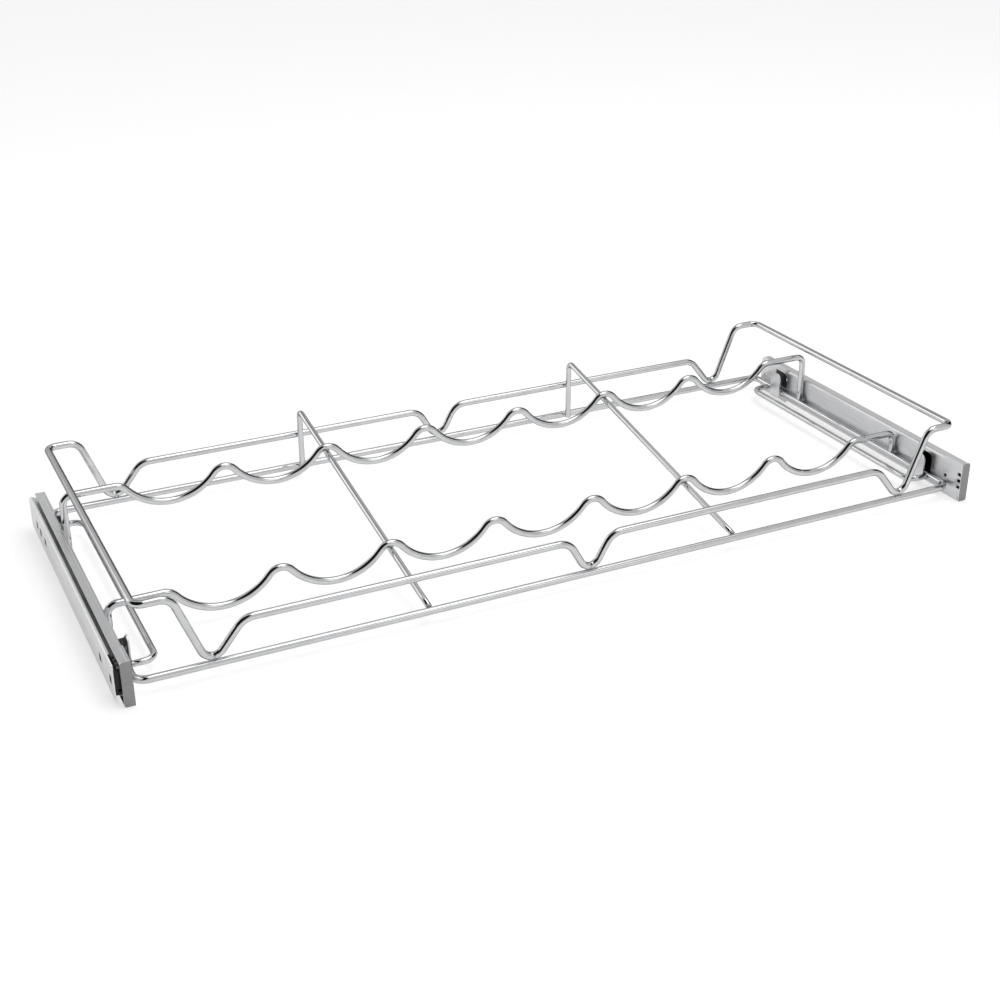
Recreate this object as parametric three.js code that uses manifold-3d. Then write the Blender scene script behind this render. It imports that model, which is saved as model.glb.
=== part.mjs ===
// Slide-out wine rack: a chromed wire basket for one row of bottles, carried by a pair of
// ball-bearing slides. Millimetres. x runs across the rack, y towards the back, z up.
// The origin is under the middle of the rack, level with the slides' lower edge.
import * as THREE from "three";
import { mergeVertices } from "three/addons/utils/BufferGeometryUtils.js";
import Module from "manifold-3d";

const wasm = await Module();
wasm.setup();

// Bottles
const BOTTLES = 7;
const BOTTLE_PITCH = 92;

// Wires
const WIRE = 6;
const THIN_WIRE = 5;
const WELD_GAP = 0.3;
const WIRE_SIDES = 8;
const BEND_STEP = 0.36;

// Base ring
const RING_Z = 10.8;
const RING_HALF_WIDTH = 364.5;
const RING_DEPTH = 298;
const RING_CORNER = 10;

// Upper guard ring
const RAIL_HALF_WIDTH = 360;
const SIDE_RAIL_Z = 71;
const RAIL_CORNER = 8;
const SHOULDER_X = 334;
const SHOULDER_BEND = 12;
const OUTER_DIP_X = 308.5;
const DIP_HALF_FLAT = 5.2;
const DIP_BEND = 10;
const DIP_Z = RING_Z + WIRE + WELD_GAP;
const LOW_RAIL_Z = 42;
const LOW_RAIL_INNER_X = 19.3;
const LOW_RAIL_OUTER_X = 283.3;
const LOW_RAIL_BEND = 16;

// Waved bottle rests
const WAVE_DEPTH = 22;
const CREST_RADIUS = 12;
const LEG_BEND = 8;
const FRONT_WAVE_Y = 78;
const REAR_WAVE_Y = 221;

// Cross wires and side stays
const CROSS_X = BOTTLE_PITCH * 1.5;
const CROSS_FRONT_Z = 12.5;
const POST_TOP_Z = 67.2;
const POST_FOOT_Z = 9.5;
const POST_BEND = 6;
const STAY_X = 342.5;
const STAY_FRONT_Y = 25;
const STAY_REAR_Y = 270;
const STAY_CORNER = 10;

// Slides: u runs outwards from the basket side of the moving member, w up from its middle
const SLIDE_X = 368;
const SLIDE_Z = 18;
const SLIDE_FRONT_Y = -12.5;
const SLIDE_REAR_Y = 292.5;
const SHEET = 1.2;
const DRAWER_HALF_HEIGHT = 17;
const DRAWER_FLANGE = 8;
const END_PLATE_HEIGHT = 36;
const FRONT_PLATE_END_Y = 11;
const REAR_PLATE_START_Y = 247;
const SLIDE_THICKNESS = 13;
const CABINET_FRONT_Y = -7.5;
const CABINET_REAR_Y = 294;
const CABINET_HALF_HEIGHT = 14.75;
const RACE_HALF_HEIGHT = 11.85;
const RACE_START_Y = 9;
const TAB_LENGTH = 19;
const TAB_FRONT_Y = 28;
const TAB_REAR_Y = 249;
const TAB_BOTTOM_Z = 4;
const TAB_TOP_Z = 30;
const TAB_NECK_TOP_Z = 21;

// Ball cages
const CAGE_SHEET = 0.6;
const CAGE_START_Y = 106;
const CAGE_LENGTH = 76;
const CAGE_HALF_HEIGHT = 14.05;
const BALL_RADIUS = 1.6;
const BALL_U = 4.6;
const BALL_W = 13.75;
const BALLS_PER_RACE = 4;
const BALL_SPACING = 21;

const CHROME = { color: 0xd8dadd, metalness: 1, roughness: 0.1 };
const ZINC = { color: 0xc6c9cc, metalness: 1, roughness: 0.32 };
const SPRING_STEEL = { color: 0xa9adb1, metalness: 1, roughness: 0.3 };
const BALL_STEEL = { color: 0xe2e4e6, metalness: 1, roughness: 0.06 };
const BLACK_PLASTIC = { color: 0x1c1d1f, metalness: 0, roughness: 0.5 };

// A geometry as a manifold solid.
function solid(geometry) {
  geometry.deleteAttribute("normal");
  geometry.deleteAttribute("uv");
  const merged = mergeVertices(geometry, 1e-4);
  return new wasm.Manifold(
    new wasm.Mesh({
      numProp: 3,
      vertProperties: merged.attributes.position.array,
      triVerts: Uint32Array.from(merged.index.array),
    }),
  );
}

// Points along a run of straights whose corners are bent to their own radii.
// Each corner is [x, y, z, bend radius].
function bent(corners) {
  const points = [];
  corners.forEach(([x, y, z, radius = 0], i) => {
    const corner = new THREE.Vector3(x, y, z);
    if (radius === 0) {
      points.push(corner);
      return;
    }
    const back = new THREE.Vector3(...corners[i - 1].slice(0, 3)).sub(corner).normalize();
    const ahead = new THREE.Vector3(...corners[i + 1].slice(0, 3)).sub(corner).normalize();
    const half = back.angleTo(ahead) / 2;
    const middle = back.clone().add(ahead).setLength(radius / Math.sin(half));
    const spoke = back.clone().multiplyScalar(radius / Math.tan(half)).sub(middle);
    const axis = new THREE.Vector3().crossVectors(ahead, back).normalize();
    const turn = Math.PI - 2 * half;
    const steps = Math.max(2, Math.round(turn / BEND_STEP));
    for (let k = 0; k <= steps; k++) {
      const at = spoke.clone().applyAxisAngle(axis, (turn * k) / steps);
      points.push(at.add(middle).add(corner));
    }
  });
  return points;
}

// A curve through given points, with one extrusion step from each point to the next.
class WirePath extends THREE.Curve {
  constructor(points) {
    super();
    this.points = points;
  }

  getPoint(t, target = new THREE.Vector3()) {
    const last = this.points.length - 1;
    const i = Math.min(Math.floor(t * last), last - 1);
    return target.lerpVectors(this.points[i], this.points[i + 1], t * last - i);
  }

  getUtoTmapping(u) {
    return u;
  }
}

// A round wire along the points.
function wire(points, diameter) {
  const section = new THREE.Shape();
  for (let k = 0; k < WIRE_SIDES; k++) {
    const angle = (k / WIRE_SIDES) * 2 * Math.PI;
    const x = (diameter / 2) * Math.cos(angle);
    const y = (diameter / 2) * Math.sin(angle);
    if (k === 0) section.moveTo(x, y);
    else section.lineTo(x, y);
  }
  const path = new WirePath(points);
  return solid(
    new THREE.ExtrudeGeometry(section, { steps: points.length - 1, extrudePath: path }),
  );
}

// A closed ring from its front half: the rear half is the same wire turned about the middle.
function ring(frontHalf) {
  const front = wire(frontHalf, WIRE);
  const rear = front.rotate([0, 0, 180]).translate([0, RING_DEPTH, 0]);
  return front.add(rear);
}

function baseRing() {
  const middle = RING_DEPTH / 2 + 0.5;
  return ring(
    bent([
      [-RING_HALF_WIDTH, middle, RING_Z],
      [-RING_HALF_WIDTH, 0, RING_Z, RING_CORNER],
      [RING_HALF_WIDTH, 0, RING_Z, RING_CORNER],
      [RING_HALF_WIDTH, middle, RING_Z],
    ]),
  );
}

function upperGuardRing() {
  const middle = RING_DEPTH / 2 + 0.5;
  const right = [
    [DIP_HALF_FLAT, 0, DIP_Z, DIP_BEND],
    [LOW_RAIL_INNER_X, 0, LOW_RAIL_Z, LOW_RAIL_BEND],
    [LOW_RAIL_OUTER_X, 0, LOW_RAIL_Z, LOW_RAIL_BEND],
    [OUTER_DIP_X - DIP_HALF_FLAT, 0, DIP_Z, DIP_BEND],
    [OUTER_DIP_X + DIP_HALF_FLAT, 0, DIP_Z, DIP_BEND],
    [SHOULDER_X, 0, SIDE_RAIL_Z, SHOULDER_BEND],
    [RAIL_HALF_WIDTH, 0, SIDE_RAIL_Z, RAIL_CORNER],
    [RAIL_HALF_WIDTH, middle, SIDE_RAIL_Z],
  ];
  const left = right.map(([x, ...rest]) => [-x, ...rest]).reverse();
  return ring(bent([...left, ...right]));
}

// A rest for the bottles: round valleys between tighter crests, and a leg at each end.
function waveWire(y, crestZ) {
  const radii = (BOTTLE_PITCH ** 2 / 4 + WAVE_DEPTH ** 2) / (2 * WAVE_DEPTH);
  const valleyRadius = radii - CREST_RADIUS;
  const lean = Math.atan2(BOTTLE_PITCH / 2, radii - WAVE_DEPTH);
  const crestSteps = 3;
  const valleySteps = 8;
  const onCrest = (x, angle) =>
    new THREE.Vector3(
      x + CREST_RADIUS * Math.sin(angle),
      y,
      crestZ - CREST_RADIUS + CREST_RADIUS * Math.cos(angle),
    );
  const onValley = (x, angle) =>
    new THREE.Vector3(
      x + valleyRadius * Math.sin(angle),
      y,
      crestZ - WAVE_DEPTH + valleyRadius - valleyRadius * Math.cos(angle),
    );
  const firstX = (-(BOTTLES - 1) / 2) * BOTTLE_PITCH;
  const endX = (BOTTLES / 2) * BOTTLE_PITCH;
  const wave = [];
  for (let k = 0; k < crestSteps; k++) wave.push(onCrest(-endX, (lean * k) / crestSteps));
  for (let bottle = 0; bottle < BOTTLES; bottle++) {
    const x = firstX + bottle * BOTTLE_PITCH;
    for (let k = 0; k <= valleySteps; k++) {
      wave.push(onValley(x, lean * ((2 * k) / valleySteps - 1)));
    }
    if (bottle === BOTTLES - 1) break;
    for (let k = 1; k < 2 * crestSteps; k++) {
      wave.push(onCrest(x + BOTTLE_PITCH / 2, lean * (k / crestSteps - 1)));
    }
  }
  for (let k = 1; k <= crestSteps; k++) {
    wave.push(onCrest(endX, lean * (k / crestSteps - 1)));
  }
  const footZ = RING_Z + WIRE / 2 + WELD_GAP;
  const leg = bent([
    [-RING_HALF_WIDTH, y, footZ],
    [-RING_HALF_WIDTH, y, crestZ, LEG_BEND],
    [-endX, y, crestZ],
  ]).slice(0, -1);
  const farLeg = leg.map((p) => new THREE.Vector3(-p.x, p.y, p.z)).reverse();
  return wire([...leg, ...wave, ...farLeg], WIRE);
}

const postY = RING_DEPTH - WIRE / 2 - THIN_WIRE / 2 - WELD_GAP;
const crossFrontY = WIRE / 2 + WELD_GAP + 0.3;
const crossSlope = Math.atan2(POST_TOP_Z - CROSS_FRONT_Z, postY - crossFrontY);

// Height of a waved wire's crests where it lies across the cross wires.
function crestHeight(y) {
  const middle = CROSS_FRONT_Z + (y - crossFrontY) * Math.tan(crossSlope);
  return middle + (WIRE + THIN_WIRE) / 2 / Math.cos(crossSlope) + WELD_GAP;
}

function crossWire(x) {
  return wire(
    bent([
      [x, crossFrontY, CROSS_FRONT_Z],
      [x, postY, POST_TOP_Z, POST_BEND],
      [x, postY, POST_FOOT_Z],
    ]),
    THIN_WIRE,
  );
}

function sideStay(side) {
  const endX = side * (RING_HALF_WIDTH - WIRE / 2 - WELD_GAP);
  return wire(
    bent([
      [endX, STAY_FRONT_Y, RING_Z],
      [side * STAY_X, STAY_FRONT_Y, RING_Z, STAY_CORNER],
      [side * STAY_X, STAY_REAR_Y, RING_Z, STAY_CORNER],
      [endX, STAY_REAR_Y, RING_Z],
    ]),
    THIN_WIRE,
  );
}

// Outline of a folded sheet from the middle of its thickness.
function folded(corners, thickness) {
  const middle = bent(corners.map(([a, b, radius]) => [a, b, 0, radius]));
  const offset = (sign) =>
    middle.map((p, i) => {
      const from = middle[Math.max(i - 1, 0)];
      const to = middle[Math.min(i + 1, middle.length - 1)];
      const along = to.clone().sub(from).normalize();
      return new THREE.Vector2(
        p.x - (sign * along.y * thickness) / 2,
        p.y + (sign * along.x * thickness) / 2,
      );
    });
  return new THREE.Shape([...offset(1), ...offset(-1).reverse()]);
}

// A section drawn in u and w, run along the slide.
function slideSection(shape, fromY, toY) {
  const geometry = new THREE.ExtrudeGeometry(shape, { depth: toY - fromY, bevelEnabled: false });
  geometry.rotateX(Math.PI / 2);
  geometry.translate(SLIDE_X, toY, SLIDE_Z);
  return solid(geometry);
}

// A plate whose outline is drawn in y and z, cut through from u to u + depth.
function plate(outline, u, depth) {
  const geometry = new THREE.ExtrudeGeometry(outline, { depth, bevelEnabled: false });
  geometry.rotateX(Math.PI / 2);
  geometry.rotateZ(Math.PI / 2);
  geometry.translate(SLIDE_X + u, 0, 0);
  return solid(geometry);
}

// A rectangle with its rear corners rounded to one radius and its front corners to another.
function rounded(y0, y1, z0, z1, frontRadius, rearRadius) {
  const shape = new THREE.Shape();
  shape.moveTo(y0 + frontRadius, z0);
  shape.lineTo(y1 - rearRadius, z0);
  if (rearRadius > 0) shape.absarc(y1 - rearRadius, z0 + rearRadius, rearRadius, -Math.PI / 2, 0);
  shape.lineTo(y1, z1 - rearRadius);
  if (rearRadius > 0) shape.absarc(y1 - rearRadius, z1 - rearRadius, rearRadius, 0, Math.PI / 2);
  shape.lineTo(y0 + frontRadius, z1);
  if (frontRadius > 0) {
    shape.absarc(y0 + frontRadius, z1 - frontRadius, frontRadius, Math.PI / 2, Math.PI);
    shape.lineTo(y0, z0 + frontRadius);
    shape.absarc(y0 + frontRadius, z0 + frontRadius, frontRadius, Math.PI, 1.5 * Math.PI);
  }
  return new THREE.Shape(shape.extractPoints(3).shape);
}

function block(u0, u1, y0, y1, w0, w1) {
  const geometry = new THREE.BoxGeometry(u1 - u0, y1 - y0, w1 - w0);
  geometry.translate(SLIDE_X + (u0 + u1) / 2, (y0 + y1) / 2, SLIDE_Z + (w0 + w1) / 2);
  return solid(geometry);
}

// A hole across the web at y and z.
function webHole(y, z, radius) {
  const geometry = new THREE.CylinderGeometry(radius, radius, 3 * SHEET, 10);
  geometry.rotateZ(Math.PI / 2);
  geometry.translate(SLIDE_X + SHEET / 2, y, z);
  return solid(geometry);
}

// A tab lanced out of the web, open towards the front: it steps inwards past the ring wire.
function tab(frontY) {
  const rearY = frontY + TAB_LENGTH;
  const tabU = -SLIDE_X + RING_HALF_WIDTH - WIRE / 2 - WELD_GAP - SHEET / 2;
  const profile = folded(
    [
      [tabU, frontY, 0],
      [tabU, rearY - 3, 1.8],
      [SHEET / 2, rearY - 0.5, 1.8],
      [SHEET / 2, rearY + 3, 0],
    ],
    SHEET,
  );
  const geometry = new THREE.ExtrudeGeometry(profile, { depth: TAB_TOP_Z, bevelEnabled: false });
  geometry.translate(SLIDE_X, 0, 0);
  const finger = solid(geometry).intersect(plate(tabOutline(frontY), -12, 16));
  const wireTop = RING_Z + WIRE / 2 + 0.6 - SLIDE_Z;
  return finger.subtract(block(-6.6, 0.1, frontY + 8, rearY + 5, -20, wireTop));
}

// A finger: a round free end, and a top that falls away to a narrow neck.
function tabOutline(frontY) {
  const neckY = frontY + TAB_LENGTH - 1;
  const shape = new THREE.Shape();
  shape.moveTo(frontY + 6, TAB_BOTTOM_Z);
  shape.lineTo(neckY + 5, TAB_BOTTOM_Z);
  shape.lineTo(neckY + 5, TAB_NECK_TOP_Z);
  shape.lineTo(neckY, TAB_NECK_TOP_Z);
  shape.lineTo(frontY + 8, TAB_TOP_Z - 1);
  shape.absarc(frontY + 6, TAB_TOP_Z - 6, 6, 0.4 * Math.PI, Math.PI);
  shape.lineTo(frontY, TAB_BOTTOM_Z + 6);
  shape.absarc(frontY + 6, TAB_BOTTOM_Z + 6, 6, Math.PI, 1.5 * Math.PI);
  return new THREE.Shape(shape.extractPoints(4).shape);
}

// The opening that the tab leaves in the web.
function tabWindow(frontY) {
  const outline = rounded(frontY - 1, frontY + TAB_LENGTH - 1, TAB_BOTTOM_Z, TAB_TOP_Z, 6, 0);
  return plate(outline, -0.2, SHEET + 0.4);
}

function drawerMember() {
  const flangeW = DRAWER_HALF_HEIGHT - SHEET / 2;
  const channel = slideSection(
    folded(
      [
        [DRAWER_FLANGE, flangeW, 0],
        [SHEET / 2, flangeW, 2.4],
        [SHEET / 2, -flangeW, 2.4],
        [DRAWER_FLANGE, -flangeW, 0],
      ],
      SHEET,
    ),
    SLIDE_FRONT_Y + SHEET / 2,
    SLIDE_REAR_Y,
  );
  const rearCorners = rounded(SLIDE_FRONT_Y, SLIDE_REAR_Y, 0, END_PLATE_HEIGHT, 0, 5);
  const endPlate = (from, to) =>
    plate(rounded(from, to, 0, END_PLATE_HEIGHT, 0, to === SLIDE_REAR_Y ? 5 : 0), 0, SHEET);
  const halfFace = END_PLATE_HEIGHT / 2;
  const faceOutline = new THREE.Shape();
  faceOutline.moveTo(0, -halfFace);
  faceOutline.lineTo(DRAWER_FLANGE - 1.6, -halfFace);
  faceOutline.absarc(DRAWER_FLANGE - 1.6, 1.6 - halfFace, 1.6, -Math.PI / 2, 0);
  faceOutline.absarc(DRAWER_FLANGE - 1.6, halfFace - 1.6, 1.6, 0, Math.PI / 2);
  faceOutline.lineTo(0, halfFace);
  const face = slideSection(
    new THREE.Shape(faceOutline.extractPoints(3).shape),
    SLIDE_FRONT_Y,
    SLIDE_FRONT_Y + SHEET,
  );
  const latch = [25, 19, 13].map((z) =>
    block(-0.2, SHEET + 0.2, -11.2, -6.8, z - 1.5 - SLIDE_Z, z + 1.5 - SLIDE_Z),
  );
  const cornerRelief = block(-0.2, SHEET + 0.2, -11.2, -10.2, -20, -14);
  const cuts = [
    tabWindow(TAB_FRONT_Y),
    tabWindow(TAB_REAR_Y),
    ...latch,
    cornerRelief,
    webHole(8, 17.6, 1.8),
    webHole(285, 17.7, 1.5),
    webHole(286, 31.5, 1.6),
    webHole(286, 5.5, 1.6),
  ];
  const sheet = channel
    .intersect(plate(rearCorners, -1, 20))
    .add(endPlate(SLIDE_FRONT_Y, FRONT_PLATE_END_Y))
    .add(endPlate(REAR_PLATE_START_Y, SLIDE_REAR_Y))
    .add(face);
  return cuts
    .reduce((whole, cut) => whole.subtract(cut), sheet)
    .add(tab(TAB_FRONT_Y))
    .add(tab(TAB_REAR_Y));
}

function cabinetMember() {
  const webU = SLIDE_THICKNESS - SHEET / 2;
  const stepU = webU - 2.6;
  const wingW = CABINET_HALF_HEIGHT - SHEET / 2;
  const raceW = RACE_HALF_HEIGHT - SHEET / 2;
  const upper = [
    [3.4, raceW, 0],
    [stepU, raceW, 1.2],
    [stepU, wingW, 1.2],
    [webU, wingW, 1.2],
  ];
  const lower = upper.map(([u, w, radius]) => [u, -w, radius]).reverse();
  const section = slideSection(
    folded([...upper, ...lower], SHEET),
    CABINET_FRONT_Y,
    CABINET_REAR_Y,
  );
  const ends = rounded(
    CABINET_FRONT_Y,
    CABINET_REAR_Y,
    SLIDE_Z - CABINET_HALF_HEIGHT,
    SLIDE_Z + CABINET_HALF_HEIGHT,
    2,
    6,
  );
  const slots = [0, 32, 230, 249, 264].map((y) =>
    block(SLIDE_THICKNESS - 2, SLIDE_THICKNESS + 1, y - 1.6, y + 1.6, -3, 3),
  );
  const cuts = [
    block(0, SLIDE_THICKNESS - SHEET - 0.05, CABINET_FRONT_Y - 1, RACE_START_Y, 10.3, 20),
    block(0, SLIDE_THICKNESS - SHEET - 0.05, CABINET_FRONT_Y - 1, RACE_START_Y, -20, -10.3),
    ...slots,
  ];
  return cuts.reduce(
    (whole, cut) => whole.subtract(cut),
    section.intersect(plate(ends, -1, 20)),
  );
}

// A plastic stop with a key slot in its front and three ridges above and below.
function frontStop() {
  const outerU = SLIDE_THICKNESS - SHEET - WELD_GAP;
  const ridges = [-5, 0, 5].flatMap((y) => [
    block(5, 9, y - 1.2, y + 1.2, 8, RACE_HALF_HEIGHT),
    block(5, 9, y - 1.2, y + 1.2, -RACE_HALF_HEIGHT, -8),
  ]);
  const body = ridges.reduce(
    (whole, ridge) => whole.add(ridge),
    block(3.6, outerU, CABINET_FRONT_Y + 0.5, 7, -10, 10),
  );
  return body
    .subtract(block(6.2, 7.4, CABINET_FRONT_Y, -4, -7, 6))
    .subtract(block(6.2, 10, CABINET_FRONT_Y, -4, -7, -5.4));
}

const ballY = [];
for (let k = 0; k < BALLS_PER_RACE; k++) ballY.push(CAGE_START_Y + 6.5 + k * BALL_SPACING);

function ballCage() {
  const flangeW = CAGE_HALF_HEIGHT - CAGE_SHEET / 2;
  const webU = 1.8 + CAGE_SHEET / 2;
  const strip = slideSection(
    folded(
      [
        [7, flangeW, 0],
        [webU, flangeW, 0.9],
        [webU, -flangeW, 0.9],
        [7, -flangeW, 0],
      ],
      CAGE_SHEET,
    ),
    CAGE_START_Y,
    CAGE_START_Y + CAGE_LENGTH,
  );
  const sockets = ballY.map((y) => {
    const geometry = new THREE.CylinderGeometry(1.9, 1.9, 2 * DRAWER_HALF_HEIGHT, 10);
    geometry.rotateX(Math.PI / 2);
    geometry.translate(SLIDE_X + BALL_U, y, SLIDE_Z);
    return solid(geometry);
  });
  return sockets.reduce((whole, socket) => whole.subtract(socket), strip);
}

function ball(y, sign) {
  const geometry = new THREE.SphereGeometry(BALL_RADIUS, 8, 6);
  geometry.rotateX(Math.PI / 2);
  geometry.translate(SLIDE_X + BALL_U, y, SLIDE_Z + sign * BALL_W);
  return solid(geometry);
}

const group = new THREE.Group();

// Adds one solid as a mesh with sharp edges kept.
function addPiece(name, piece, finish) {
  const { vertProperties, triVerts } = piece.getMesh();
  const geometry = new THREE.BufferGeometry()
    .setAttribute("position", new THREE.BufferAttribute(vertProperties, 3))
    .setIndex(new THREE.BufferAttribute(triVerts, 1))
    .toNonIndexed();
  geometry.computeVertexNormals();
  const mesh = new THREE.Mesh(geometry, new THREE.MeshStandardMaterial(finish));
  mesh.name = name;
  group.add(mesh);
}

addPiece("base_ring", baseRing(), CHROME);
addPiece("upper_guard_ring", upperGuardRing(), CHROME);
addPiece("front_wave_wire", waveWire(FRONT_WAVE_Y, crestHeight(FRONT_WAVE_Y)), CHROME);
addPiece("rear_wave_wire", waveWire(REAR_WAVE_Y, crestHeight(REAR_WAVE_Y)), CHROME);
addPiece("cross_wire_left", crossWire(-CROSS_X), CHROME);
addPiece("cross_wire_right", crossWire(CROSS_X), CHROME);
addPiece("side_stay_left", sideStay(-1), CHROME);
addPiece("side_stay_right", sideStay(1), CHROME);

const slideParts = [
  ["drawer_member", drawerMember(), ZINC],
  ["cabinet_member", cabinetMember(), ZINC],
  ["front_stop", frontStop(), BLACK_PLASTIC],
  ["ball_cage", ballCage(), SPRING_STEEL],
];
for (const [name, piece, finish] of slideParts) {
  addPiece(`${name}_right`, piece, finish);
  addPiece(`${name}_left`, piece.mirror([1, 0, 0]), finish);
}
ballY.forEach((y, k) => {
  [1, -1].forEach((sign, row) => {
    const number = 2 * k + row + 1;
    const piece = ball(y, sign);
    addPiece(`ball_right_${number}`, piece, BALL_STEEL);
    addPiece(`ball_left_${number}`, piece.mirror([1, 0, 0]), BALL_STEEL);
  });
});

// The middle of the rack, front to back.
group.position.y = -(SLIDE_FRONT_Y + RING_DEPTH + WIRE / 2) / 2;

export default group;
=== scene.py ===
import math

import bpy
from mathutils import Matrix, Vector


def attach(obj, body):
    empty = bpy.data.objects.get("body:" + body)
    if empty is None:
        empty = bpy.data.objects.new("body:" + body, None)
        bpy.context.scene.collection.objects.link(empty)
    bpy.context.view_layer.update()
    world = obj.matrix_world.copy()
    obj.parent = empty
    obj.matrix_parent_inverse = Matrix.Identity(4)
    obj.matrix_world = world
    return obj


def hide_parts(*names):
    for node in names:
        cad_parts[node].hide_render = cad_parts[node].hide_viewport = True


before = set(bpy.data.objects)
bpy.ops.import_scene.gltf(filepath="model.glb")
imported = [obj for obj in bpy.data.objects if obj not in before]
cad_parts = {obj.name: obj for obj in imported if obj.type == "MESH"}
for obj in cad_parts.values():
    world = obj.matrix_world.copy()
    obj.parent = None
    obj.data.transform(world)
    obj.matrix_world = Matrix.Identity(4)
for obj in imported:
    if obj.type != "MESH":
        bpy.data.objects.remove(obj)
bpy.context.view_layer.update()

# ---------------------------------------------------------------- wires, in mm
MM = 0.001
SHIFT_Y = -144.25  # where the front ring wire lies in the shared frame
WIRE = 6.0
THIN = 5.0
GAP = 0.3  # left between wires that are welded on the real rack
PITCH = 92.0
BOTTLES = 7
RING_Z, RING_X, RING_DEPTH, RING_CORNER = 10.8, 364.5, 298.0, 10.0
RAIL_X, RAIL_Z, RAIL_CORNER = 360.0, 71.0, 8.0
LOW_RAIL_Z = 42.0
DIP_Z = RING_Z + WIRE + GAP
CREST_R, WAVE_DEPTH, WAVE_LEG_CORNER = 12.0, 22.0, 8.0
WAVE_Y = (("front", 78.0), ("rear", 221.0))
POST_Y = RING_DEPTH - WIRE / 2 - THIN / 2 - GAP
CROSS_Y, CROSS_Z, POST_Z = 3.6, 12.5, 67.2
CROSS_X, CROSS_START_Y, CROSS_CORNER, POST_FOOT_Z = PITCH * 1.5, CROSS_Y - 0.3, 6.0, 9.5
SLOPE = math.atan2(POST_Z - CROSS_Z, POST_Y - CROSS_Y)
STAY_X, STAY_FRONT_Y, STAY_REAR_Y, STAY_CORNER = 342.5, 25, 270, 10.0

# One quarter of the guard ring's outline from its middle dip out: x, z, corner radius.
GUARD_PROFILE = (
    (5.2, DIP_Z, 10.0),
    (19.3, LOW_RAIL_Z, 16.0),
    (283.3, LOW_RAIL_Z, 16.0),
    (303.3, DIP_Z, 10.0),
    (313.7, DIP_Z, 10.0),
    (334.0, RAIL_Z, 12.0),
    (RAIL_X, RAIL_Z, RAIL_CORNER),
)

# How finely the wires are drawn.
ARC_STEP = 0.12  # radians of a rounded corner
CREST_STEPS, VALLEY_STEPS = 8, 12  # points in half a crest, half a valley
LONGEST = 12.0  # mm of a straight between two sections
SIDES = 20
END_ROUND = 0.35  # mm, the bevel of a cut wire end


def at(x, y, z):
    """A point of the wire drawing, in mm, as metres in the shared frame."""
    return Vector((x, y + SHIFT_Y, z)) * MM


# ---------------------------------------------------------------- slides, in metres of the shared frame
# The bands and distances below mark the channels' insides, painted near black: grease, and painted
# shade where shade falls.
LOWER_RACE, WEB, UPPER_RACE = (0.0021, 0.0075), (0.0075, 0.0285), (0.0285, 0.0339)
DRAWER_INSIDE = (0.3690, 0.3762)  # distance from the middle plane
CABINET_INSIDE = (0.3600, 0.3800)
CAGE_INSIDE = (0.36, 0.38)
CAGE_LOW_EDGE = (0.0, 0.005)
FACE_SKIN_Y = (-0.2, -0.15655)  # only the outer skin of the folded end face lies in here
CHANNEL_Y = (-0.1553, 0.2)  # behind the end face, to past the rear end
SLOTS_Y = (0, 32, 230, 249, 264)  # mm in the wire drawing
SLOT_HALF_WIDTH = 3.2
SLOT_Z = (0.0147, 0.0213)

# ---------------------------------------------------------------- colours
CHROME_TINT = (0.78, 0.785, 0.795)
BALL_TINT = (0.78, 0.79, 0.80)
CHROME_OUTLINE = (0.30, 0.30, 0.31, 1.0)  # what plating reflects at a grazing angle
# Near black: grease, and painted shade inside the slide channels, where shade falls.
GREASE_AND_PAINTED_SHADE = (0.015, 0.015, 0.015), (0.06, 0.06, 0.058)
MATT_FACE = (0.30, 0.30, 0.305), (0.36, 0.36, 0.365)
SLOT_SHADE = (0.012, 0.012, 0.012)
BLACK_PLASTIC = (0.010, 0.010, 0.011), (0.022, 0.022, 0.024)
PALE_RIDGE = (0.42, 0.42, 0.42), (0.62, 0.62, 0.61)
PALE_FLOOR = (0.92, 0.92, 0.92), (0.94, 0.94, 0.94)


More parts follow.
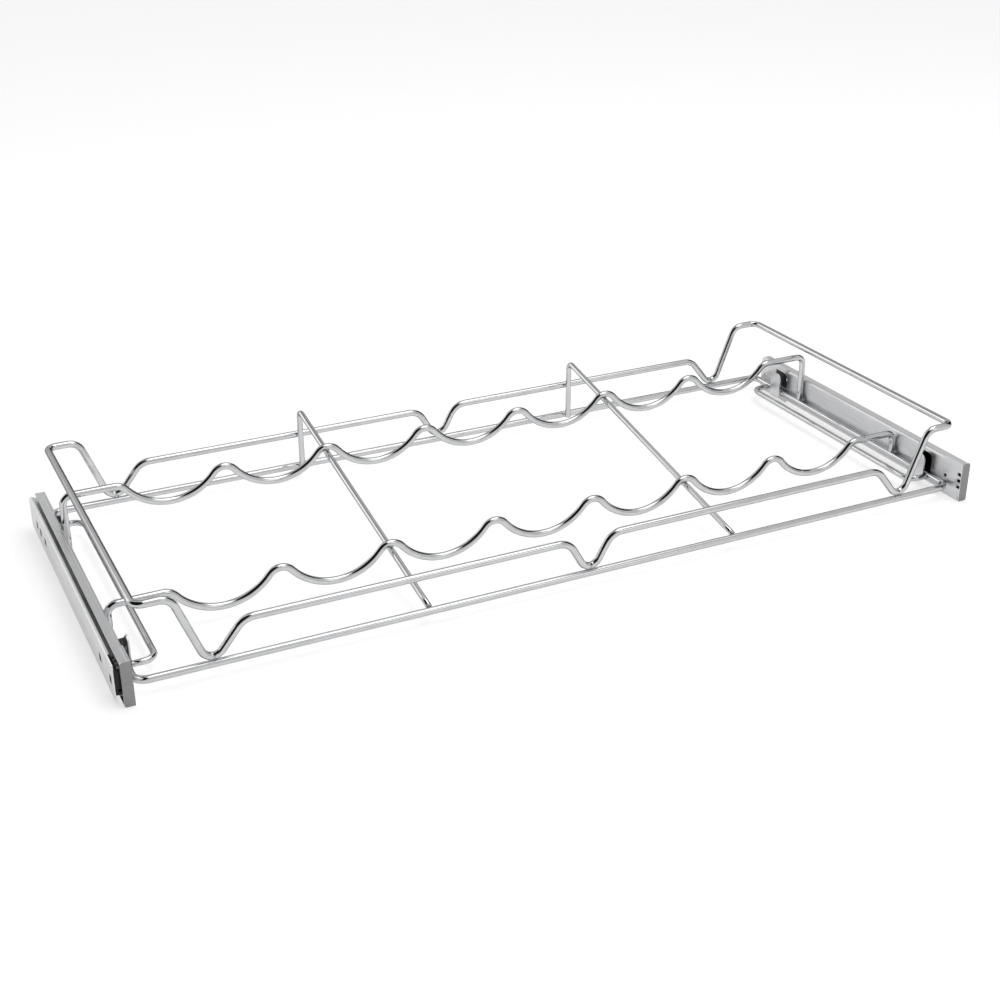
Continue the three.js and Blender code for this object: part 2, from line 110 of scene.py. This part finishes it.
# ---------------------------------------------------------------- shader helpers
class Nodes:
    """A small wrapper that adds and links nodes of one tree."""

    def __init__(self, tree):
        self.tree = tree
        tree.nodes.clear()

    def add(self, kind, **settings):
        node = self.tree.nodes.new(kind)
        for key, value in settings.items():
            setattr(node, key, value)
        return node

    def link(self, out, into):
        self.tree.links.new(out, into)

    def coords(self, scale=(1.0, 1.0, 1.0)):
        place = self.add("ShaderNodeTexCoord")
        mapping = self.add("ShaderNodeMapping")
        mapping.inputs["Scale"].default_value = scale
        self.link(place.outputs["Object"], mapping.inputs["Vector"])
        return mapping.outputs["Vector"]

    def noise(self, coords, scale, detail, rough=0.55):
        node = self.add("ShaderNodeTexNoise")
        node.inputs["Scale"].default_value = scale
        node.inputs["Detail"].default_value = detail
        node.inputs["Roughness"].default_value = rough
        self.link(coords, node.inputs["Vector"])
        return node.outputs["Fac"]

    def ramp(self, fac, start, end, colours):
        """From the first colour, where fac is start, to the second, where it is end."""
        node = self.add("ShaderNodeValToRGB")
        for element, place, colour in zip(node.color_ramp.elements, (start, end), colours):
            element.position = place
            element.color = (*colour, 1.0)
        self.link(fac, node.inputs["Fac"])
        return node.outputs["Color"]

    def math(self, operation, a, b=None, clamp=False):
        node = self.add("ShaderNodeMath", operation=operation, use_clamp=clamp)
        for socket, value in zip(node.inputs, (a, b)):
            if isinstance(value, (int, float)):
                socket.default_value = value
            elif value is not None:
                self.link(value, socket)
        return node.outputs[0]

    def between(self, fac, low, high):
        """fac, from 0 to 1, brought to low to high."""
        node = self.add("ShaderNodeMapRange")
        node.inputs["To Min"].default_value = low
        node.inputs["To Max"].default_value = high
        self.link(fac, node.inputs["Value"])
        return node.outputs["Result"]

    def step(self, value, low, high):
        """0 below low, 1 above high, smooth in between."""
        node = self.add("ShaderNodeMapRange", interpolation_type="SMOOTHSTEP")
        node.inputs["From Min"].default_value = low
        node.inputs["From Max"].default_value = high
        self.link(value, node.inputs["Value"])
        return node.outputs["Result"]

    def slab(self, coords, axis, low, high, soft=0.00015):
        """1 where the coordinate along axis (its size, for X) lies between low and high, else 0."""
        split = self.add("ShaderNodeSeparateXYZ")
        self.link(coords, split.inputs[0])
        value = split.outputs[axis]
        if axis == "X":
            value = self.math("ABSOLUTE", value)
        rise = self.step(value, low - soft, low + soft)
        fall = self.step(value, high - soft, high + soft)
        return self.math("SUBTRACT", rise, fall, clamp=True)

    def blended(self, fac, first, second):
        """first where fac is 0, second where it is 1; second may be a plain colour."""
        node = self.add("ShaderNodeMix", data_type="RGBA")
        self.link(fac, node.inputs[0])
        self.link(first, node.inputs[6])
        if isinstance(second, tuple):
            node.inputs[7].default_value = (*second, 1.0)
        else:
            self.link(second, node.inputs[7])
        return node.outputs[2]


def material(name):
    made = bpy.data.materials.new(name)
    made.use_nodes = True
    nodes = Nodes(made.node_tree)
    shader = nodes.add("ShaderNodeBsdfPrincipled")
    output = nodes.add("ShaderNodeOutputMaterial")
    nodes.link(shader.outputs["BSDF"], output.inputs["Surface"])
    return made, nodes, shader


def bump(nodes, shader, height, distance, strength, flat=False):
    """Relief from height; flat keeps the mesh's own facets, for folded sheet."""
    node = nodes.add("ShaderNodeBump")
    if flat:
        facet = nodes.add("ShaderNodeNewGeometry")
        nodes.link(facet.outputs["True Normal"], node.inputs["Normal"])
    node.inputs["Strength"].default_value = strength
    node.inputs["Distance"].default_value = distance
    nodes.link(height, node.inputs["Height"])
    nodes.link(node.outputs["Normal"], shader.inputs["Normal"])


def chrome(name, tint):
    """Bright plating: almost a mirror, with faint clouding and a trace of orange peel."""
    made, nodes, shader = material(name)
    coords = nodes.coords()
    cloud = nodes.noise(coords, 90.0, 3.0)
    dark = tuple(c * 0.93 for c in tint)
    nodes.link(nodes.ramp(cloud, 0.35, 0.62, (dark, tint)), shader.inputs["Base Color"])
    haze = nodes.noise(coords, 420.0, 5.0)
    nodes.link(nodes.between(haze, 0.03, 0.11), shader.inputs["Roughness"])
    shader.inputs["Metallic"].default_value = 1.0
    shader.inputs["Specular Tint"].default_value = CHROME_OUTLINE
    peel = nodes.noise(coords, 700.0, 2.0)
    bump(nodes, shader, peel, 0.00004, 0.25)
    return made


def zinc(name, light, dark, inside, bands, front_face=False, slotted=False):
    """Plated sheet with rolling streaks, spangle and smudges.

    Black grease and painted shade lie on its inside, in the given bands of height: the channel is
    painted near black where shade falls. front_face greys the folded end face, and slotted darkens the
    punched slots.
    """
    made, nodes, shader = material(name)
    coords = nodes.coords()
    streak = nodes.noise(nodes.coords((420.0, 9.0, 420.0)), 1.0, 3.0, 0.6)
    spangle = nodes.noise(coords, 650.0, 3.0, 0.6)
    smudge = nodes.noise(coords, 38.0, 4.0, 0.6)
    mix = nodes.math("ADD", nodes.math("MULTIPLY", streak, 0.35), nodes.math("MULTIPLY", spangle, 0.3))
    mix = nodes.math("ADD", mix, nodes.math("MULTIPLY", smudge, 0.35))
    plated = nodes.ramp(mix, 0.36, 0.62, (dark, light))
    if front_face:
        face = nodes.slab(coords, "Y", *FACE_SKIN_Y, soft=0.0002)
        plated = nodes.blended(face, plated, nodes.ramp(spangle, 0.35, 0.6, MATT_FACE))
    # Painted shade and grease: the channel's inside, within the bands, is painted near black.
    grease_and_shade = 0.0
    for band in bands:
        grease_and_shade = nodes.math("MAXIMUM", grease_and_shade, nodes.slab(coords, "Z", *band))
    grease_and_shade = nodes.math("MULTIPLY", grease_and_shade, nodes.slab(coords, "X", *inside))
    grease_and_shade = nodes.math("MULTIPLY", grease_and_shade, nodes.slab(coords, "Y", *CHANNEL_Y))
    plated = nodes.blended(grease_and_shade, plated, nodes.ramp(smudge, 0.3, 0.7, GREASE_AND_PAINTED_SHADE))
    if slotted:
        for y in SLOTS_Y:
            ends = at(0, y - SLOT_HALF_WIDTH, 0).y, at(0, y + SLOT_HALF_WIDTH, 0).y
            wide = nodes.slab(coords, "Y", *ends)
            tall = nodes.slab(coords, "Z", *SLOT_Z)
            plated = nodes.blended(nodes.math("MULTIPLY", wide, tall), plated, SLOT_SHADE)
    nodes.link(plated, shader.inputs["Base Color"])
    nodes.link(nodes.between(mix, 0.24, 0.46), shader.inputs["Roughness"])
    shader.inputs["Metallic"].default_value = 1.0
    bump(nodes, shader, mix, 0.0001, 0.2, flat=True)
    return made


def plastic(name):
    """Moulded black plastic with a fine grain, and pale ridges above and below the web."""
    made, nodes, shader = material(name)
    coords = nodes.coords()
    grain = nodes.noise(coords, 1600.0, 2.0, 0.6)
    haze = nodes.noise(coords, 120.0, 3.0)
    black = nodes.ramp(haze, 0.3, 0.7, BLACK_PLASTIC)
    pale = nodes.ramp(haze, 0.3, 0.7, PALE_RIDGE)
    body = nodes.slab(coords, "Z", *WEB)
    nodes.link(nodes.blended(body, pale, black), shader.inputs["Base Color"])
    nodes.link(nodes.between(haze, 0.38, 0.55), shader.inputs["Roughness"])
    bump(nodes, shader, grain, 0.00006, 0.4)
    return made


# ---------------------------------------------------------------- round wires
def bent(corners):
    """Points along straights; a corner is (x, y, z), or (x, y, z, radius) where it is rounded."""
    points = []
    for i, (x, y, z, *rest) in enumerate(corners):
        corner = Vector((x, y, z))
        if not rest:
            points.append(corner)
            continue
        back = (Vector(corners[i - 1][:3]) - corner).normalized()
        ahead = (Vector(corners[(i + 1) % len(corners)][:3]) - corner).normalized()
        half = back.angle(ahead) / 2
        middle = (back + ahead).normalized() * (rest[0] / math.sin(half))
        spoke = back * (rest[0] / math.tan(half)) - middle
        axis = ahead.cross(back).normalized()
        turn = math.pi - 2 * half
        steps = max(3, round(turn / ARC_STEP))
        for k in range(steps + 1):
            points.append(corner + middle + Matrix.Rotation(turn * k / steps, 3, axis) @ spoke)
    return points


def finer(points, closed):
    """The same line with long straights cut into shorter ones."""
    out = []
    count = len(points) if closed else len(points) - 1
    for i in range(count):
        a, b = points[i], points[(i + 1) % len(points)]
        pieces = max(1, math.ceil((b - a).length / LONGEST))
        out += [a.lerp(b, k / pieces) for k in range(pieces)]
    if not closed:
        out.append(points[-1])
    return out


def sections(points, radius, closed):
    """Point, tangent, side, radius and twist of each section, carried along without turning."""
    count = len(points)
    tangents = []
    for i in range(count):
        a = points[i - 1] if closed or i else points[0]
        b = points[(i + 1) % count] if closed or i < count - 1 else points[-1]
        tangents.append((b - a).normalized())
    normals = [tangents[0].orthogonal().normalized()]
    for i in range(1, count):
        turn = tangents[i - 1].rotation_difference(tangents[i])
        normals.append((turn @ normals[-1]).normalized())
    twist = 0.0
    if closed:
        last = tangents[-1].rotation_difference(tangents[0]) @ normals[-1]
        twist = last.angle(normals[0])
        if last.cross(normals[0]).dot(tangents[0]) < 0:
            twist = -twist
    rings = [(points[i], tangents[i], normals[i], radius, twist * i / count) for i in range(count)]
    if not closed:
        first, final = rings[0], rings[-1]
        rings[0] = (first[0] + first[1] * END_ROUND, *first[1:])
        rings.insert(0, (*first[:3], radius - END_ROUND, first[4]))
        rings[-1] = (final[0] - final[1] * END_ROUND, *final[1:])
        rings.append((*final[:3], radius - END_ROUND, final[4]))
    return rings


def wire(name, node, points, diameter, skin, closed=False):
    """A round wire swept along the points, in mm, in place of a CAD node."""
    rings = sections(finer(points, closed), diameter / 2, closed)
    verts, faces = [], []
    for point, tangent, side, radius, angle in rings:
        side = Matrix.Rotation(angle, 3, tangent) @ side
        up = tangent.cross(side)
        for k in range(SIDES):
            a = 2 * math.pi * k / SIDES
            p = point + (side * math.cos(a) + up * math.sin(a)) * radius
            verts.append(at(*p))
    total = len(rings)
    for i in range(total if closed else total - 1):
        j = (i + 1) % total
        for k in range(SIDES):
            m = (k + 1) % SIDES
            faces.append((i * SIDES + k, i * SIDES + m, j * SIDES + m, j * SIDES + k))
    if not closed:
        faces.append(tuple(reversed(range(SIDES))))
        faces.append(tuple((total - 1) * SIDES + k for k in range(SIDES)))
    mesh = bpy.data.meshes.new(name)
    mesh.from_pydata(verts, [], faces)
    for polygon in mesh.polygons:
        polygon.use_smooth = len(polygon.vertices) == 4
    mesh.materials.append(skin)
    piece = bpy.data.objects.new(name, mesh)
    bpy.context.scene.collection.objects.link(piece)
    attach(piece, "basket")
    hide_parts(node)


def base_ring_points():
    corners = ((-RING_X, 0), (RING_X, 0), (RING_X, RING_DEPTH), (-RING_X, RING_DEPTH))
    return bent([(x, y, RING_Z, RING_CORNER) for x, y in corners])


def guard_ring_points():
    front = [(-x, 0.0, z, r) for x, z, r in reversed(GUARD_PROFILE)]
    front += [(x, 0.0, z, r) for x, z, r in GUARD_PROFILE]
    rear = [(-x, RING_DEPTH - y, z, r) for x, y, z, r in front]
    return bent(front + rear)


def wave_points(y):
    """One wave across the basket: equal crests and valleys, a flat end and a leg at each side."""
    crest = CROSS_Z + (y - CROSS_Y) * math.tan(SLOPE) + (WIRE + THIN) / 2 / math.cos(SLOPE) + GAP
    radii = (PITCH**2 / 4 + WAVE_DEPTH**2) / (2 * WAVE_DEPTH)
    valley_r = radii - CREST_R
    lean = math.atan2(PITCH / 2, radii - WAVE_DEPTH)
    end = BOTTLES / 2 * PITCH
    foot = (-RING_X, y, RING_Z + WIRE / 2 + GAP)
    leg = bent([foot, (-RING_X, y, crest, WAVE_LEG_CORNER), (-end, y, crest)])[:-1]

    def on_crest(x, a):
        return Vector((x + CREST_R * math.sin(a), y, crest - CREST_R + CREST_R * math.cos(a)))

    def on_valley(x, a):
        z = crest - WAVE_DEPTH + valley_r - valley_r * math.cos(a)
        return Vector((x + valley_r * math.sin(a), y, z))

    points = leg + [on_crest(-end, lean * k / CREST_STEPS) for k in range(CREST_STEPS)]
    for bottle in range(BOTTLES):
        x = (bottle - (BOTTLES - 1) / 2) * PITCH
        turns = range(2 * VALLEY_STEPS + 1)
        points += [on_valley(x, lean * (k / VALLEY_STEPS - 1)) for k in turns]
        if bottle < BOTTLES - 1:
            turns = range(1, 2 * CREST_STEPS)
            points += [on_crest(x + PITCH / 2, lean * (k / CREST_STEPS - 1)) for k in turns]
    points += [on_crest(end, lean * (k / CREST_STEPS - 1)) for k in range(1, CREST_STEPS + 1)]
    points += [Vector((-p.x, p.y, p.z)) for p in reversed(leg)]
    return points


def cross_points(sign):
    x = sign * CROSS_X
    start = (x, CROSS_START_Y, CROSS_Z)
    return bent([start, (x, POST_Y, POST_Z, CROSS_CORNER), (x, POST_Y, POST_FOOT_Z)])


def stay_points(sign):
    ring_side, x = sign * (RING_X - WIRE / 2 - GAP), sign * STAY_X
    return bent(
        [
            (ring_side, STAY_FRONT_Y, RING_Z),
            (x, STAY_FRONT_Y, RING_Z, STAY_CORNER),
            (x, STAY_REAR_Y, RING_Z, STAY_CORNER),
            (ring_side, STAY_REAR_Y, RING_Z),
        ]
    )


bright = chrome("bright_chrome", CHROME_TINT)
wire("base_ring_wire", "base_ring", base_ring_points(), WIRE, bright, closed=True)
wire("guard_ring_wire", "upper_guard_ring", guard_ring_points(), WIRE, bright, closed=True)
for row, y in WAVE_Y:
    wire(f"{row}_wave", f"{row}_wave_wire", wave_points(y), WIRE, bright)
for side, sign in (("left", -1), ("right", 1)):
    wire(f"cross_{side}", f"cross_wire_{side}", cross_points(sign), THIN, bright)
    wire(f"stay_{side}", f"side_stay_{side}", stay_points(sign), THIN, bright)

# ---------------------------------------------------------------- carried-over CAD nodes
ball_skin = chrome("ball_steel", BALL_TINT)
# The zinc skins paint the slide channels' insides near black: grease, and painted shade where shade
# falls.
SKINS = {
    "drawer_member": zinc(
        "drawer_zinc",
        (0.93, 0.935, 0.94),
        (0.80, 0.805, 0.815),
        DRAWER_INSIDE,
        (LOWER_RACE, UPPER_RACE),
        front_face=True,
    ),
    "cabinet_member": zinc(
        "cabinet_zinc",
        (0.97, 0.972, 0.975),
        (0.85, 0.853, 0.86),
        CABINET_INSIDE,
        (WEB,),
        slotted=True,
    ),
    "ball_cage": zinc(
        "cage_steel", (0.30, 0.30, 0.31), (0.20, 0.20, 0.21), CAGE_INSIDE, (CAGE_LOW_EDGE,)
    ),
    "front_stop": plastic("black_plastic_grain"),
    "ball_left": ball_skin,
    "ball_right": ball_skin,
}
for name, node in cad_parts.items():
    for start, skin in SKINS.items():
        if name.startswith(start):
            for slot in node.material_slots:
                slot.material = skin

# ---------------------------------------------------------------- floor
FLOOR_HALF = 8  # metres from the middle to each edge
FLOOR_Z = -0.0004
GLOW_SEEN, GLOW_MIRRORED = 0.56, 0.28  # the floor's glow to the camera, and in the plating

floor_mesh = bpy.data.meshes.new("floor")
corners = [(x * FLOOR_HALF, y * FLOOR_HALF, 0) for x, y in ((-1, -1), (1, -1), (1, 1), (-1, 1))]
floor_mesh.from_pydata(corners, [], [(0, 1, 2, 3)])
floor = bpy.data.objects.new("floor", floor_mesh)
bpy.context.scene.collection.objects.link(floor)
floor.location.z = FLOOR_Z
floor_skin, floor_nodes, floor_shader = material("pale_floor")
floor_shader.inputs["Roughness"].default_value = 0.9
floor_shader.inputs["Specular IOR Level"].default_value = 0.0
floor_grain = floor_nodes.noise(floor_nodes.coords(), 6.0, 2.0)
floor_colour = floor_nodes.ramp(floor_grain, 0.3, 0.7, PALE_FLOOR)
floor_nodes.link(floor_colour, floor_shader.inputs["Base Color"])
rays = floor_nodes.add("ShaderNodeLightPath")
seen = floor_nodes.math("MULTIPLY", rays.outputs["Is Camera Ray"], GLOW_SEEN)
mirrored = floor_nodes.math("MULTIPLY", rays.outputs["Is Glossy Ray"], GLOW_MIRRORED)
floor_shader.inputs["Emission Color"].default_value = (1.0, 1.0, 1.0, 1.0)
floor_nodes.link(floor_nodes.math("ADD", seen, mirrored), floor_shader.inputs["Emission Strength"])
floor_mesh.materials.append(floor_skin)

# ---------------------------------------------------------------- room: what the plating mirrors
ROOM_LEVEL = 0.74
# Direction of a panel's middle, half angle of its full part and of its soft edge, strength.
DARK_PANELS = (
    ((-0.64, -0.35, 0.68), 41, 46, 0.99),
    ((0.90, 0.17, 0.40), 21, 26, 0.97),
    ((0.03, 0.67, 0.74), 8, 11, 0.85),
    ((0.50, 0.86, 0.12), 9, 15, 0.8),
    ((0.36, -0.46, 0.80), 2, 7, 0.6),
)
WHITE_PANELS = (
    ((0.39, -0.79, 0.47), 2, 11, 1.0),
    ((-0.56, 0.75, 0.33), 8, 20, 0.9),
)


def studio():
    """A pale grey room: dark panels give the black streaks, two white ones the highlights."""
    world = bpy.data.worlds.new("studio")
    bpy.context.scene.world = world
    world.use_nodes = True
    nodes = Nodes(world.node_tree)
    direction = nodes.add("ShaderNodeTexCoord").outputs["Generated"]

    def panel(centre, inner, outer, strength):
        dot = nodes.add("ShaderNodeVectorMath", operation="DOT_PRODUCT")
        nodes.link(direction, dot.inputs[0])
        dot.inputs[1].default_value = Vector(centre).normalized()
        edge, full = (math.cos(math.radians(angle)) for angle in (outer, inner))
        return nodes.math("MULTIPLY", nodes.step(dot.outputs["Value"], edge, full), strength)

    level = ROOM_LEVEL
    for values in DARK_PANELS:
        shade = nodes.math("SUBTRACT", 1.0, panel(*values))
        level = nodes.math("MULTIPLY", level, shade)
    for values in WHITE_PANELS:
        level = nodes.math("ADD", level, panel(*values))
    background = nodes.add("ShaderNodeBackground")
    nodes.link(level, background.inputs["Strength"])
    output = nodes.add("ShaderNodeOutputWorld")
    nodes.link(background.outputs["Background"], output.inputs["Surface"])


studio()

# ---------------------------------------------------------------- lamp and camera
KEY_PLACE, KEY_TARGET = Vector((0.5, -0.2, 2.2)), Vector((0.0, 0.0, 0.0))
key = bpy.data.lights.new("key_above", "AREA")
key.shape = "RECTANGLE"
key.size = 1.8
key.size_y = 1.4
key.energy = 12.0
lamp = bpy.data.objects.new("key_above", key)
bpy.context.scene.collection.objects.link(lamp)
lamp.location = KEY_PLACE
lamp.rotation_euler = (KEY_TARGET - KEY_PLACE).to_track_quat("-Z", "Y").to_euler()

camera_data = bpy.data.cameras.new("camera")
camera_data.sensor_fit = "HORIZONTAL"
camera_data.sensor_width = 36.0
camera_data.lens = 54.546
camera_data.clip_start = 0.05
camera_data.clip_end = 50.0
camera = bpy.data.objects.new("camera", camera_data)
bpy.context.scene.collection.objects.link(camera)
# Place and axes were fitted to the photograph.
CAMERA_PLACE = (-0.529850, -1.066134, 0.590051)
CAMERA_RIGHT = Vector((0.898315, -0.439350, -0.000834))
CAMERA_UP = Vector((0.192540, 0.391969, 0.899605))
axes = (CAMERA_RIGHT, CAMERA_UP, CAMERA_RIGHT.cross(CAMERA_UP))
turned = Matrix(axes).transposed().to_4x4()
camera.matrix_world = Matrix.Translation(CAMERA_PLACE) @ turned
bpy.context.scene.camera = camera
bpy.context.scene.view_settings.view_transform = "Standard"
